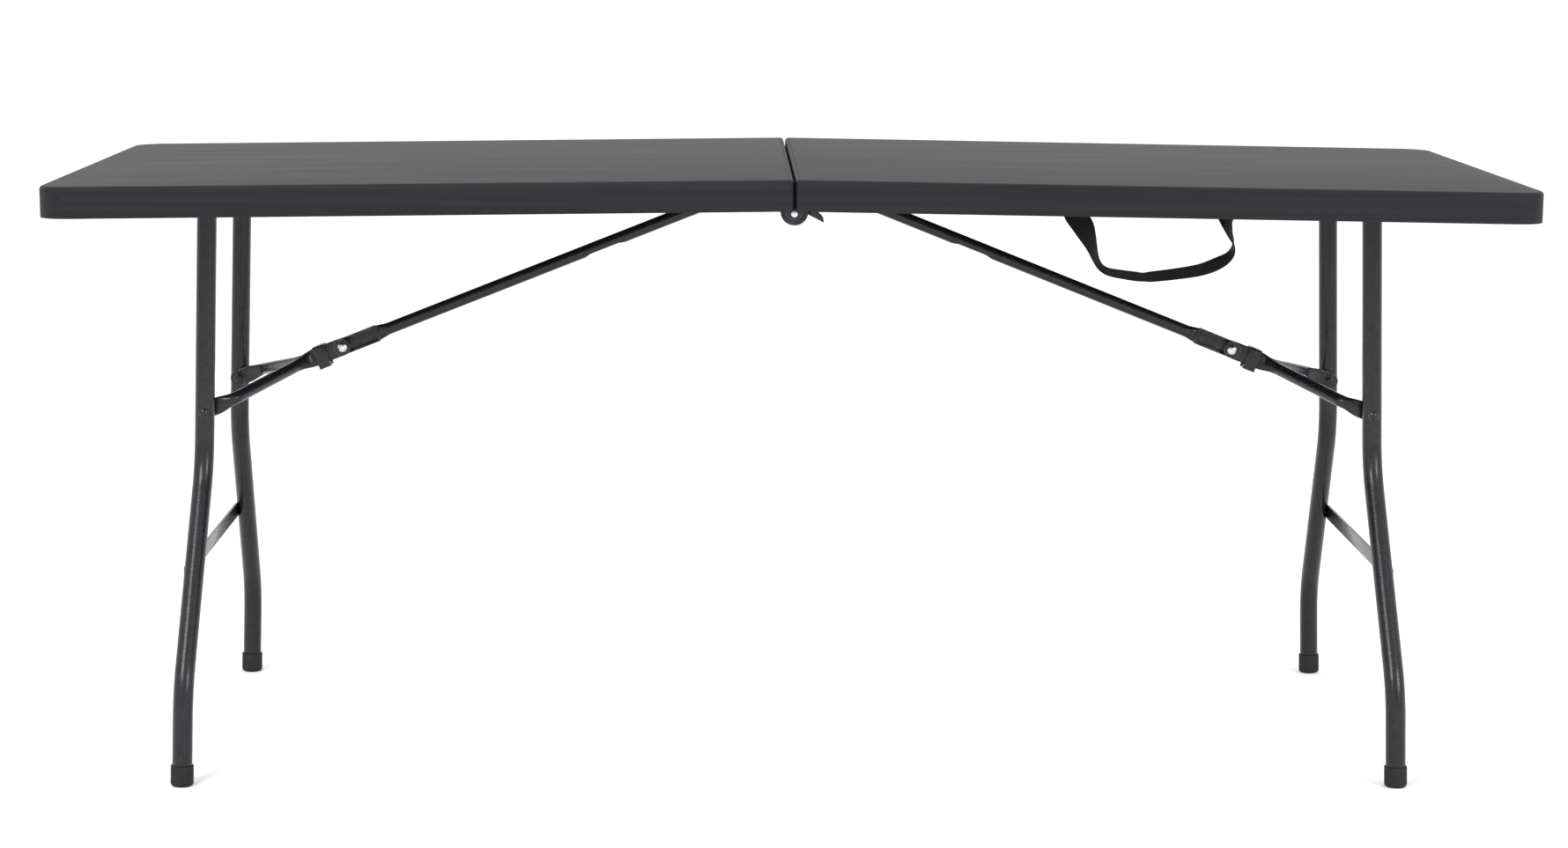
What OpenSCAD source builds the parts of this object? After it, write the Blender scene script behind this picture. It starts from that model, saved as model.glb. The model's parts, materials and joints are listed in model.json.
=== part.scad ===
// Fold-in-half utility table: two hollow moulded halves on hinged steel frames.
// Millimetres, +Z up, origin on the floor under the middle of the table.
// Each half is drawn in its own frame: x runs out from the seam, y runs to the
// back and z is up from the lower edge of the skirt. at_half() sets it in place.

/* [Table top] */
// Length of the open table
table_length = 1829; // [1660:1:2200]
// Width of the table, front to back
table_width = 752; // [620:1:900]
// Height of the top surface at the seam
table_height = 762; // [620:1:765]
// Thickness from the skirt's lower edge to the top surface
top_thickness = 38.5; // [36:0.5:50]
// Thickness of the hollow deck above the recess
deck_thickness = 11; // [9:0.5:15]
// Wall of the hollow moulding
shell_wall = 2.2; // [1.6:0.1:3]
// Width of the skirt along the sides and the far end
skirt_width = 21.5; // [16:0.5:26]
// Width of the skirt along the seam
seam_skirt = 10.5; // [10:0.5:16]
// Radius of the outer corners, seen from above
corner_radius = 40; // [25:1:80]
// Rounding along the upper edges
edge_radius = 5; // [3:0.5:6]
// Gap between the halves at the seam
seam_gap = 1.2; // [0.8:0.1:3]
// Fall of each half from the seam outwards, in degrees
crown_angle = 0.8; // [0:0.1:2]

/* [Centre hinge] */
// Depth of the hinge axis below the skirt's edge
hinge_drop = 5; // [3:0.5:8]
// Radius of the hinge ears
ear_radius = 17; // [14:0.5:20]
// Thickness of each hinge ear
ear_thickness = 3; // [2:0.5:4]
// Diameter of the hinge pins
hinge_pin_d = 8; // [6:0.5:10]
// Distance of the latch pin from the seam
latch_x = 28; // [27:0.5:32]

/* [Side rails] */
// Width of a side rail, front to back
rail_width = 12; // [10:0.5:14]
// Height of a side rail
rail_height = 21; // [18:0.5:22]
// Wall of the side rails
rail_wall = 1.5; // [1:0.1:2.5]

/* [Legs] */
// Diameter of the leg tube
leg_d = 25; // [22:0.5:25.5]
// Wall of the leg tube
leg_wall = 1.2; // [1:0.1:2]
// Diameter of the cross tube that the legs swing on
pivot_tube_d = 22; // [18:0.5:23]
// Distance of the leg pivot from the table's end
leg_inset = 176.5; // [120:0.5:260]
// Height of the leg pivot above the skirt's edge
pivot_height = 12.6; // [12.5:0.1:14]
// Distance of the legs' upper stretch from the middle line
leg_upper_y = 163; // [120:1:200]
// Distance of the feet from the table's long edge
foot_inset = 51; // [45:1:90]
// Outward lean of the leg frame from its own half, in degrees
leg_lean = 2.3; // [1:0.05:5]
// Angle of the two bends in a leg, in degrees
bend_angle = 32; // [20:1:45]
// Radius of the bends
bend_radius = 120; // [60:1:140]
// Straight stretch above the floor
lower_straight = 85; // [50:1:120]
// Distance of the flat crossbar below the upper bend
crossbar_below_bend = 165; // [120:1:200]
// Height of the flat crossbar
crossbar_height = 20; // [14:1:30]
// Thickness of the flat crossbar
crossbar_thickness = 3.6; // [2.5:0.1:4.5]
// Diameter of the rubber feet
foot_d = 28.5; // [27:0.5:32]
// Height of the rubber feet
foot_height = 26; // [18:1:40]

/* [Folding brace] */
// Diameter of the brace tubes
brace_d = 16; // [12:0.5:18]
// Wall of the brace tubes
brace_wall = 1.2; // [1:0.1:2]
// Distance of the brace pivot from the seam
brace_pivot_x = 27; // [26:0.5:40]
// Height of the brace pivot above the skirt's edge
brace_pivot_z = 9; // [8:0.5:13]
// Diameter of the pin that carries the brace
brace_pin_d = 8; // [6:0.5:9]
// Distance of the leg rivets above the upper bend
rivet_above_bend = 33; // [25:1:60]
// Width of the flattened ends
flat_width = 22; // [18:0.5:22]
// Thickness of the flattened ends
flat_thickness = 2.5; // [2:0.1:3]
// Diameter of the rivets
rivet_d = 8; // [6:0.5:10]
// Distance of the lock ring's middle from the brace rivet
ring_place = 30; // [30:0.5:36]
// Length of the lock ring along the brace
ring_length = 16.5; // [12:0.5:17]
// Travel of the lock ring
ring_travel = 14; // [6:0.5:14]

/* [Carry handle] */
// Width of the webbing
webbing_width = 28; // [20:1:35]
// Thickness of the webbing
webbing_thickness = 2.5; // [1.5:0.1:3]
// Distance of the handle's inner end from the seam
handle_start = 338; // [250:1:400]
// Distance between the ends of the handle
handle_span = 189; // [150:1:220]
// Depth of the handle below the skirt
handle_depth = 72; // [50:1:90]

/* [Hidden] */

LEFT = -1;
RIGHT = 1;
FRONT = -1;
REAR = 1;

// Clearances: moving fits on a pin, moving pieces side by side, seated pieces
pin_fit = 0.05;
side_gap = 0.4;
seat_gap = 0.5;

// Colours
plastic = "#4b4b4d";
steel = "#3a3b3e";
zinc = "#c9ccd0";
rubber = "#222224";
webbing = "#161618";

// Moulded top
seam_x = seam_gap / 2;
end_x = table_length / 2;
half_width = table_width / 2;
recess_top = top_thickness - deck_thickness;
recess_x0 = seam_x + seam_skirt;
recess_x1 = end_x - skirt_width;
recess_y = half_width - skirt_width;
recess_corner = corner_radius - skirt_width;
hinge_z = table_height - (top_thickness + hinge_drop) * cos(crown_angle);
dimple_rows = 7;
dimple_cols = 8;
dimple_r = 15;
dimple_tip_r = 8;
pocket_half_width = 26;
pocket_length = 120;
pocket_depth = 6;

// Rails sit just inside the skirt
rail_y = recess_y - 1.5 - rail_width / 2;
rail_z0 = recess_top - rail_height;
rail_x0 = recess_x0 + 5;
rail_x1 = end_x - leg_inset + 40;
rail_inner_y = rail_y - rail_width / 2;

// Hinge ears: the left half's outside, the right half's inside
ear_outer_y = rail_y + rail_width / 2 - ear_thickness;
ear_inner_y = ear_outer_y - ear_thickness - side_gap;
ear_middle_z = 3;
ear_length = 62;
ear_tail_top = rail_z0 + 14;
ear_dish = 0.6;
notch_r = ear_radius + ear_middle_z + 1.5;
pin_head_d = hinge_pin_d + 5;
pin_head_t = 1.2;

// Leg frame. leg_frame() draws it from the pivot along a leg: y is as before
// and z is up the leg, so that the foot is at -leg_length.
pivot_x = end_x - leg_inset;
leg_r = leg_d / 2;
foot_y = half_width - foot_inset;
foot_r = foot_d / 2;
foot_round = 4;
foot_base = 5;
pivot_world_z = hinge_z - pivot_x * sin(crown_angle)
              + (pivot_height + hinge_drop) * cos(crown_angle);
floor_lean = leg_lean - crown_angle;
leg_length = (pivot_world_z - foot_round - (foot_r - foot_round) * sin(floor_lean))
           / cos(floor_lean) + foot_round;
bend_shift = 2 * bend_radius * (1 - cos(bend_angle));
slant_length = (foot_y - leg_upper_y - bend_shift) / sin(bend_angle);
bends_height = 2 * bend_radius * sin(bend_angle) + slant_length * cos(bend_angle);
upper_straight = leg_length - lower_straight - bends_height;
leg_top = 5;
bend_lap = 1;
bend_step = 0.15;
stub_d = 14;
stub_length = rail_width + 1.5;
leg_bore_y = rail_inner_y - 1;

// Brace linkage. The leg rivet moves round the leg pivot, the brace is straight
// when the legs stand and folds back on itself when they lie in the recess, so
// its two lengths follow from the rivet's distances from the brace pivot.
rivet_reach = upper_straight - rivet_above_bend;
rivet_open = [pivot_x + rivet_reach * sin(leg_lean), pivot_height - rivet_reach * cos(leg_lean)];
rivet_shut = [pivot_x - rivet_reach, pivot_height];
brace_pivot = [brace_pivot_x, brace_pivot_z];
reach_open = norm(rivet_open - brace_pivot);
reach_shut = norm(rivet_shut - brace_pivot);
arm_length = (reach_open + reach_shut) / 2;
fork_length = (reach_open - reach_shut) / 2;
brace_angle = atan2(brace_pivot[1] - rivet_open[1], rivet_open[0] - brace_pivot[0]);
brace_r = brace_d / 2;
eye_r = 9.5;
arm_flat_length = 64;
arm_tail = 19;
arm_tail_height = 16;
arm_flat_half = 5;
dent_place = pivot_x - upper_straight - crossbar_below_bend - brace_pivot_x;
dent_length = 50;
dent_depth = 2.5;
fork_inner_y = brace_r + 0.3;
fork_outer_y = leg_upper_y - leg_r - side_gap;
fork_flat = ring_place + ring_length / 2 + 1.5;
fork_tube_y = fork_inner_y + brace_r + 0.3;
fork_eye = 30;
dome_r = 6.5;
dome_h = 3;
ring_wall = 2;
hull_step = 0.1;
bracket_x0 = recess_x0 + 2;
bracket_length = 36;
bracket_half = 24;
bracket_thickness = 2.5;
lug_y = brace_r + side_gap;
lug_r = 8;
ring_top = flat_width / 2 + 0.5;
ring_foot = 5.5;

// Latch hook in the right front rail
latch_z = rail_z0 + 9;
latch_thickness = 3;
latch_y = ear_inner_y - side_gap - latch_thickness;
latch_pin_d = 5;
latch_reach = 29.5;
latch_width = 12;
latch_slot = 22;

// Handle
handle_y = rail_inner_y - webbing_thickness / 2 - 0.2;
handle_screw_z = 12;

$fn = 64;

// ---- placing ----

module at_side(side) {
    if (side < 0) mirror([1, 0, 0]) children();
    else children();
}

module at_half(side) {
    at_side(side)
        translate([0, 0, hinge_z]) rotate([0, crown_angle, 0]) translate([0, 0, hinge_drop])
            children();
}

module leg_frame(side) {
    at_half(side) translate([pivot_x, 0, pivot_height]) rotate([0, -leg_lean, 0]) children();
}

// x runs along the brace from its pivot at the seam, z is square to it
module brace_line(side) {
    at_half(side) translate([brace_pivot_x, 0, brace_pivot_z]) rotate([0, brace_angle, 0]) children();
}

// x runs along the brace from its rivet towards the legs
module fork_line(side) {
    brace_line(side) translate([arm_length, 0, 0]) children();
}

// A cylinder along y, from y0 to y1
module across(r, y0, y1) {
    translate([0, y0, 0]) rotate([-90, 0, 0]) cylinder(r = r, h = y1 - y0);
}

// A flat strip in the xz plane with round ends, from y0 to y1
module strip(x0, x1, width, y0, y1) {
    translate([x0, 0, 0]) across(width / 2, y0, y1);
    translate([x1, 0, 0]) across(width / 2, y0, y1);
    translate([x0, y0, -width / 2]) cube([x1 - x0, y1 - y0, width]);
}

// A round rivet or screw head standing towards +z
module dome(r, h) {
    sphere_r = (r * r + h * h) / (2 * h);
    intersection() {
        translate([0, 0, h - sphere_r]) sphere(r = sphere_r);
        cylinder(r = r, h = h);
    }
}

// ---- moulded top ----

// Outline of a half seen from above, with round corners
module half_outline(x0, x1, y, seam_r, end_r) {
    translate([x0 + seam_r, -y]) square([x1 - x0 - seam_r - end_r, 2 * y]);
    translate([x0, -y + seam_r]) square([2 * seam_r, 2 * (y - seam_r)]);
    translate([x1 - 2 * end_r, -y + end_r]) square([2 * end_r, 2 * (y - end_r)]);
    for (s = [-1, 1]) {
        translate([x0 + seam_r, s * (y - seam_r)]) circle(r = seam_r);
        translate([x1 - end_r, s * (y - end_r)]) circle(r = end_r);
    }
}

// The outer form, with its upper edges rounded
module top_block() {
    hull() {
        linear_extrude(top_thickness - edge_radius)
            half_outline(seam_x, end_x, half_width, edge_radius, corner_radius);
        for (s = [-1, 1]) {
            translate([seam_x + edge_radius, s * (half_width - edge_radius),
                       top_thickness - edge_radius])
                sphere(r = edge_radius, $fn = 32);
            translate([end_x - corner_radius, s * (half_width - corner_radius),
                       top_thickness - edge_radius])
                rotate_extrude($fn = 64)
                    translate([corner_radius - edge_radius, 0]) circle(r = edge_radius, $fn = 24);
        }
    }
}

module dimples(extra) {
    step_x = (recess_x1 - recess_x0) / dimple_cols;
    step_y = 2 * rail_inner_y / dimple_rows;
    for (i = [0 : dimple_cols - 1], j = [0 : dimple_rows - 1])
        if (2 * j + 1 != dimple_rows)
            translate([recess_x0 + (i + 0.5) * step_x, (j + 0.5) * step_y - rail_inner_y,
                       recess_top - 1])
                cylinder(r1 = dimple_r + extra, r2 = dimple_tip_r + extra,
                         h = deck_thickness - shell_wall + 1 - (extra > 0 ? 0 : shell_wall));
}

// Sealed air space inside the deck and the skirt
module air_space() {
    difference() {
        translate([0, 0, shell_wall]) linear_extrude(top_thickness - 2 * shell_wall)
            half_outline(seam_x + shell_wall, end_x - shell_wall, half_width - shell_wall,
                         edge_radius, corner_radius - shell_wall);
        translate([0, 0, -1]) linear_extrude(recess_top + shell_wall + 1)
            half_outline(recess_x0 - shell_wall, recess_x1 + shell_wall, recess_y + shell_wall,
                         edge_radius, recess_corner + shell_wall);
        translate([pocket_x() - shell_wall, -pocket_half_width - shell_wall, 0])
            cube([pocket_length + 2 * shell_wall, 2 * (pocket_half_width + shell_wall),
                  top_thickness]);
        ear_notch(shell_wall);
        dimples(shell_wall);
    }
}

function pocket_x() = brace_pivot_x + arm_length - 80;

// Room for the hinge ears in the seam skirt: round about the hinge axis, and
// square above it for the tails that run into the rails
module ear_notch(extra) {
    low = ear_inner_y - side_gap - extra;
    high = ear_outer_y + ear_thickness + side_gap + extra;
    for (s = [-1, 1]) mirror([0, s < 0 ? 1 : 0, 0]) {
        translate([0, 0, -hinge_drop]) across(notch_r + extra, low - 3, high + 3);
        translate([-1, low, -1]) cube([recess_x0 + 2, high - low, ear_tail_top + 2 + extra]);
    }
}

module top(side) {
    color(plastic) at_half(side) difference() {
        top_block();
        translate([0, 0, -1]) linear_extrude(recess_top + 1)
            half_outline(recess_x0, recess_x1, recess_y, edge_radius, recess_corner);
        translate([pocket_x(), -pocket_half_width, 0])
            cube([pocket_length, 2 * pocket_half_width, recess_top + pocket_depth]);
        ear_notch(0);
        dimples(0);
        air_space();
    }
}

// ---- rails and centre hinge ----

module rail_section() {
    difference() {
        square([rail_width, rail_height]);
        translate([rail_wall, rail_wall])
            square([rail_width - 2 * rail_wall, rail_height - 2 * rail_wall]);
    }
}

module rail(side, face) {
    color(steel) at_half(side) difference() {
        translate([rail_x0, face * rail_y - rail_width / 2, rail_z0])
            rotate([90, 0, 90]) linear_extrude(rail_x1 - rail_x0) rail_section();
        // the slot for this half's ear, and the bore for the leg pivot
        ear_slot(side, face);
        translate([pivot_x, face * rail_y, pivot_height])
            across(stub_d / 2 + pin_fit, -rail_width, rail_width);
        if (side == RIGHT && face == FRONT) {
            // the latch's pin, and the slot that its finger hangs through
            translate([latch_x, -rail_y, latch_z]) across(latch_pin_d / 2, -rail_width, rail_width);
            translate([rail_x0 - 1, -latch_y - latch_thickness - side_gap, rail_z0 - 1])
                cube([latch_slot, latch_thickness + 2 * side_gap, rail_wall + 2]);
        }
    }
}

function ear_y(side) = side == LEFT ? ear_outer_y : ear_inner_y;

module ear_slot(side, face) {
    y0 = face == FRONT ? -ear_y(side) - ear_thickness : ear_y(side);
    translate([rail_x0 - 1, y0, rail_z0 - 1]) cube([ear_length, ear_thickness, rail_height + 2]);
}

// One ear: a round plate below the seam with a tail that is let into the rail
module ear(side, face) {
    y0 = face == FRONT ? -ear_y(side) - ear_thickness : ear_y(side);
    difference() {
        union() {
            translate([0, 0, -hinge_drop + ear_middle_z]) across(ear_radius, y0, y0 + ear_thickness);
            translate([0, y0, rail_z0])
                cube([rail_x0 - 1 + ear_length, ear_thickness, ear_tail_top - rail_z0]);
        }
        translate([0, 0, -hinge_drop])
            across(hinge_pin_d / 2 + (side == RIGHT ? pin_fit : 0), y0 - 1, y0 + ear_thickness + 1);
        if (side == RIGHT && face == FRONT)
            translate([latch_x, 0, latch_z]) across(latch_pin_d / 2, y0 - 1, y0 + ear_thickness + 1);
        if (side == LEFT)
            translate([0, face * (ear_outer_y + ear_thickness), -hinge_drop + ear_middle_z])
                difference() {
                    across(ear_radius - 3, -ear_dish, ear_dish);
                    across(ear_radius - 7, -1, 1);
                }
        // clear of the skirt's notch and of the other half's rail end
        translate([-ear_radius - 1, y0 - 1, -hinge_drop + ear_middle_z + 9])
            cube([ear_radius + 1 + seam_x, ear_thickness + 2, ear_radius]);
    }
}

module hinge_ears(side) {
    color(steel) at_half(side) for (face = [FRONT, REAR]) ear(side, face);
}

module hinge_pin(face) {
    y0 = ear_inner_y - pin_head_t - side_gap;
    y1 = ear_outer_y + ear_thickness;
    color(zinc) translate([0, 0, hinge_z]) rotate([0, 0, face == FRONT ? 180 : 0]) {
        across(hinge_pin_d / 2, y0, y1);
        across(pin_head_d / 2, y0 - pin_head_t, y0);
    }
}

// A plate under the deck with two lugs that hold the brace between them
module brace_bracket(side) {
    color(steel) at_half(side) difference() {
        union() {
            translate([bracket_x0, -bracket_half, recess_top - bracket_thickness])
                cube([bracket_length, 2 * bracket_half, bracket_thickness]);
            for (s = [-1, 1]) mirror([0, s < 0 ? 1 : 0, 0])
                translate([brace_pivot_x, 0, brace_pivot_z]) {
                    across(lug_r, lug_y, lug_y + bracket_thickness);
                    translate([-lug_r, lug_y, 0])
                        cube([2 * lug_r, bracket_thickness, recess_top - brace_pivot_z - 1]);
                }
        }
        translate([brace_pivot_x, 0, brace_pivot_z]) across(brace_pin_d / 2, -leg_d, leg_d);
    }
}

module brace_pin(side) {
    y = lug_y + bracket_thickness;
    color(zinc) at_half(side) translate([brace_pivot_x, 0, brace_pivot_z]) {
        across(brace_pin_d / 2, -y, y);
        for (s = [-1, 1]) translate([0, s * y, 0]) rotate([-90 * s, 0, 0]) dome(dome_r, dome_h);
    }
}

module screws(side) {
    color(zinc) at_half(side) for (x = [bracket_x0 + 6, bracket_x0 + bracket_length - 6], s = [-1, 1])
        translate([x, s * (bracket_half - 6), recess_top - bracket_thickness])
            mirror([0, 0, 1]) dome(4, 2);
    count = 4;
    first = rail_x0 + ear_length + 40;
    step = (rail_x1 - 80 - first) / (count - 1);
    color(zinc) at_half(side) for (face = [FRONT, REAR], i = [0 : count - 1])
        translate([first + i * step, face * rail_y, rail_z0]) mirror([0, 0, 1]) dome(5, 2.2);
}

// ---- leg frame ----

// A leg as a solid bar of radius r: y outwards, z up the leg. The straight
// stretches run a little way over the bends, which are thinner by bend_step.
module leg_bar(r, face) {
    mid_y = leg_upper_y + bend_shift / 2;
    mid_z = -upper_straight - bend_radius * sin(bend_angle);
    low_z = -leg_length + lower_straight;
    mirror([0, face == FRONT ? 1 : 0, 0]) {
        translate([0, leg_upper_y, -upper_straight - bend_lap])
            cylinder(r = r, h = upper_straight + bend_lap - leg_top);
        translate([0, leg_upper_y + bend_radius, -upper_straight]) leg_bend(r, 180);
        translate([0, mid_y, mid_z]) rotate([180 + bend_angle, 0, 0])
            translate([0, 0, -bend_lap]) cylinder(r = r, h = slant_length + 2 * bend_lap);
        translate([0, foot_y - bend_radius, low_z]) leg_bend(r, 0);
        translate([0, foot_y, -leg_length + foot_base])
            cylinder(r = r, h = lower_straight - foot_base + bend_lap);
    }
}

// A bend in the yz plane that starts at an angle from +y
module leg_bend(r, start) {
    rotate([90, 0, 90]) rotate([0, 0, start]) rotate_extrude(angle = bend_angle)
        translate([bend_radius, 0]) circle(r = r - bend_step);
}

module leg(side, face) {
    color(steel) leg_frame(side) difference() {
        leg_bar(leg_r, face);
        leg_bar(leg_r - leg_wall, face);
        across(pivot_tube_d / 2, -half_width, half_width);
        translate([0, face * leg_upper_y, -rivet_reach]) across(rivet_d / 2, -leg_d, leg_d);
        crossbar_cut();
    }
}

module leg_pivot(side) {
    color(steel) leg_frame(side) difference() {
        union() {
            across(pivot_tube_d / 2, -leg_bore_y, leg_bore_y);
            across(stub_d / 2, -leg_bore_y - stub_length, leg_bore_y + stub_length);
        }
        across(pivot_tube_d / 2 - leg_wall, -leg_bore_y + 8, leg_bore_y - 8);
    }
}

crossbar_z = -upper_straight - crossbar_below_bend;
crossbar_y = leg_upper_y + bend_shift / 2
           + (crossbar_below_bend - bend_radius * sin(bend_angle)) * tan(bend_angle);

// The strip lies against the outer side of the legs, let in by a third
crossbar_x = leg_r - crossbar_thickness / 3;

// The strip stops just short of the middle of each leg and thins towards its ends
crossbar_reach = crossbar_y - 1;
crossbar_taper = leg_r;

module crossbar_cut() {
    translate([crossbar_x, -crossbar_reach, crossbar_z - crossbar_height / 2])
        cube([leg_d, 2 * crossbar_reach, crossbar_height]);
}

module crossbar(side) {
    outer_x = crossbar_x + crossbar_thickness;
    end_x = crossbar_x + crossbar_thickness / 3;
    color(steel) leg_frame(side) translate([0, 0, crossbar_z - crossbar_height / 2])
        linear_extrude(height = crossbar_height) polygon([
            [crossbar_x, -crossbar_reach], [end_x, -crossbar_reach],
            [outer_x, -crossbar_reach + crossbar_taper], [outer_x, crossbar_reach - crossbar_taper],
            [end_x, crossbar_reach], [crossbar_x, crossbar_reach]]);
}

module foot(side, face) {
    color(rubber) leg_frame(side) translate([0, face * foot_y, -leg_length]) rotate_extrude() difference() {
        union() {
            translate([0, foot_round]) square([foot_r, foot_height - foot_round]);
            square([foot_r - foot_round, foot_height]);
            translate([foot_r - foot_round, foot_round]) intersection() {
                circle(r = foot_round);
                translate([0, -foot_round]) square(foot_round);
            }
        }
        translate([-1, foot_base]) square([leg_r + 1, foot_height]);
    }
}

module leg_rivets(side) {
    y0 = leg_upper_y - leg_r;
    y1 = leg_upper_y + leg_r - 0.6;
    color(steel) leg_frame(side) for (face = [FRONT, REAR])
        mirror([0, face == FRONT ? 1 : 0, 0]) translate([0, 0, -rivet_reach]) {
            across(rivet_d / 2, y0, y1);
            translate([0, y1, 0]) rotate([-90, 0, 0]) dome(dome_r, dome_h);
        }
}

// ---- folding brace ----

module brace_arm(side) {
    tube_end = arm_length - arm_flat_length;
    color(steel) brace_line(side) difference() {
        union() {
            across(eye_r, -brace_r, brace_r);
            rotate([0, 90, 0]) cylinder(r = brace_r, h = tube_end);
            hull() {
                translate([tube_end - 1, 0, 0]) rotate([0, 90, 0])
                    cylinder(r = brace_r - hull_step, h = 2, $fn = 32);
                translate([tube_end + 12, -arm_flat_half, -flat_width / 2])
                    cube([1, 2 * arm_flat_half, flat_width]);
            }
            strip(tube_end + 14, arm_length, flat_width, -arm_flat_half, arm_flat_half);
            translate([arm_length, -arm_flat_half, -arm_tail_height / 2])
                cube([arm_tail, 2 * arm_flat_half, arm_tail_height]);
        }
        across(brace_pin_d / 2 + pin_fit, -leg_d, leg_d);
        translate([arm_length, 0, 0]) across(rivet_d / 2 + pin_fit, -leg_d, leg_d);
        translate([eye_r + 2, 0, 0]) rotate([0, 90, 0])
            cylinder(r = brace_r - brace_wall, h = tube_end - eye_r - 6);
        translate([dent_place - dent_length / 2, -brace_d, -brace_r - 1])
            cube([dent_length, 2 * brace_d, dent_depth + 1]);
    }
}

// One arm of the fork: flat beside the brace arm, a tube that spreads out to
// its leg, and flat again beside the leg
module fork(side, face) {
    y0 = fork_inner_y;
    y1 = fork_inner_y + flat_thickness;
    y2 = fork_outer_y - flat_thickness;
    start = [fork_flat + 20, fork_tube_y, 0];
    finish = [fork_length - fork_eye, fork_outer_y - brace_r, 0];
    run = norm(finish - start);
    turn = atan2(finish[1] - start[1], finish[0] - start[0]);
    color(steel) fork_line(side) mirror([0, face == FRONT ? 1 : 0, 0]) difference() {
        union() {
            across(flat_width / 2, y0, y1);
            translate([0, y0, -flat_width / 2]) cube([fork_flat, flat_thickness, flat_width]);
            hull() {
                translate([fork_flat - 1, y0, -flat_width / 2])
                    cube([1, flat_thickness, flat_width]);
                translate(start) rotate([0, 90, turn]) translate([0, 0, -1])
                    cylinder(r = brace_r - hull_step, h = 3, $fn = 32);
            }
            translate(start) rotate([0, 90, turn]) cylinder(r = brace_r, h = run);
            hull() {
                translate(finish) rotate([0, 90, turn]) translate([0, 0, -2])
                    cylinder(r = brace_r - hull_step, h = 3, $fn = 32);
                translate([fork_length - flat_width / 2, y2, -flat_width / 2])
                    cube([1, flat_thickness, flat_width]);
            }
            strip(fork_length - flat_width / 2, fork_length, flat_width, y2, fork_outer_y);
        }
        translate(start) rotate([0, 90, turn]) translate([0, 0, 1])
            cylinder(r = brace_r - brace_wall, h = run - 2);
        across(rivet_d / 2, y0 - 1, y1 + 1);
        translate([fork_length, 0, 0]) across(rivet_d / 2, y2 - 1, fork_outer_y + 1);
    }
}

module brace_rivet(side) {
    y = fork_inner_y + flat_thickness;
    color(zinc) fork_line(side) {
        across(rivet_d / 2, -y, y);
        for (s = [-1, 1]) translate([0, s * y, 0]) rotate([-90 * s, 0, 0]) dome(dome_r, dome_h);
    }
}

// The fork's rivet ends: a shank as thick as the eye and a head inside it
module fork_rivets(side) {
    y2 = fork_outer_y - flat_thickness;
    color(steel) fork_line(side) for (s = [-1, 1])
        mirror([0, s < 0 ? 1 : 0, 0]) translate([fork_length, 0, 0]) {
            across(rivet_d / 2, y2, fork_outer_y);
            translate([0, y2, 0]) rotate([90, 0, 0]) dome(dome_r, dome_h);
        }
}

// A band over the two flat fork ends, held under them by its lower lips and
// slotted between the lips, where the arm lies when the brace is folded
module lock_ring(side) {
    inner_y = fork_inner_y + flat_thickness + side_gap;
    outer_y = inner_y + ring_wall;
    low = -flat_width / 2 - side_gap - ring_foot;
    color(steel) fork_line(side) translate([ring_place - ring_length / 2, 0, 0]) {
        translate([0, -outer_y, ring_top]) cube([ring_length, 2 * outer_y, ring_wall]);
        for (s = [-1, 1]) mirror([0, s < 0 ? 1 : 0, 0]) {
            translate([0, inner_y, low]) cube([ring_length, ring_wall, ring_top - low]);
            translate([0, fork_inner_y, low]) cube([ring_length, inner_y - fork_inner_y, ring_foot]);
        }
    }
}

// ---- latch and handle ----

module latch_line() {
    at_half(RIGHT) translate([latch_x, -latch_y, latch_z]) mirror([0, 1, 0]) children();
}

// A finger that hangs through the front rail and curves away from the seam
module latch_hook() {
    color(steel) latch_line() difference() {
        union() {
            across(6, 0, latch_thickness);
            translate([-latch_width + 1, 0, -latch_reach + 9])
                cube([latch_width + 1, latch_thickness, latch_reach - 9]);
            translate([-4, 0, -latch_reach]) intersection() {
                across(latch_width, 0, latch_thickness);
                translate([-latch_width + 5, -1, -2]) cube([2 * latch_width, latch_thickness + 2, 20]);
            }
        }
        translate([-latch_width + 3, -1, -latch_reach + 7]) rotate([0, 26.6, 0])
            translate([-10, 0, -20]) cube([50, latch_thickness + 2, 20]);
        across(latch_pin_d / 2 + pin_fit, -1, latch_thickness + 1);
    }
}

module latch_pin() {
    color(zinc) at_half(RIGHT) translate([latch_x, 0, latch_z])
        across(latch_pin_d / 2, -ear_inner_y - ear_thickness, -rail_inner_y);
}

handle_path = [[0, 14], [0, 2], [14, -34], [34, -68], [44, -72], [80, -76], [120, -72],
               [165, -64], [194, -52], [198, -42], [192, -22], [189, 2], [189, 14]];

module carry_handle() {
    last = len(handle_path) - 1;
    depth_scale = handle_depth / 72;
    span_scale = handle_span / 189;
    color(webbing) at_half(RIGHT) translate([handle_start, -handle_y, 0])
        for (i = [0 : last - 1]) hull() for (k = [i, i + 1]) {
            p = handle_path[k];
            grip = k > 3 && k < 8;
            z = p[1] < 0 ? p[1] * depth_scale : p[1];
            translate([p[0] * span_scale, 0, z])
                cube([grip ? 3 : webbing_width, grip ? webbing_width : webbing_thickness,
                      grip ? 8 : 3], center = true);
        }
}

module handle_screws() {
    color(zinc) at_half(RIGHT) for (x = [handle_start, handle_start + handle_span])
        translate([x, -handle_y + webbing_thickness / 2, handle_screw_z]) rotate([-90, 0, 0])
            dome(4.5, 2);
}

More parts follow.
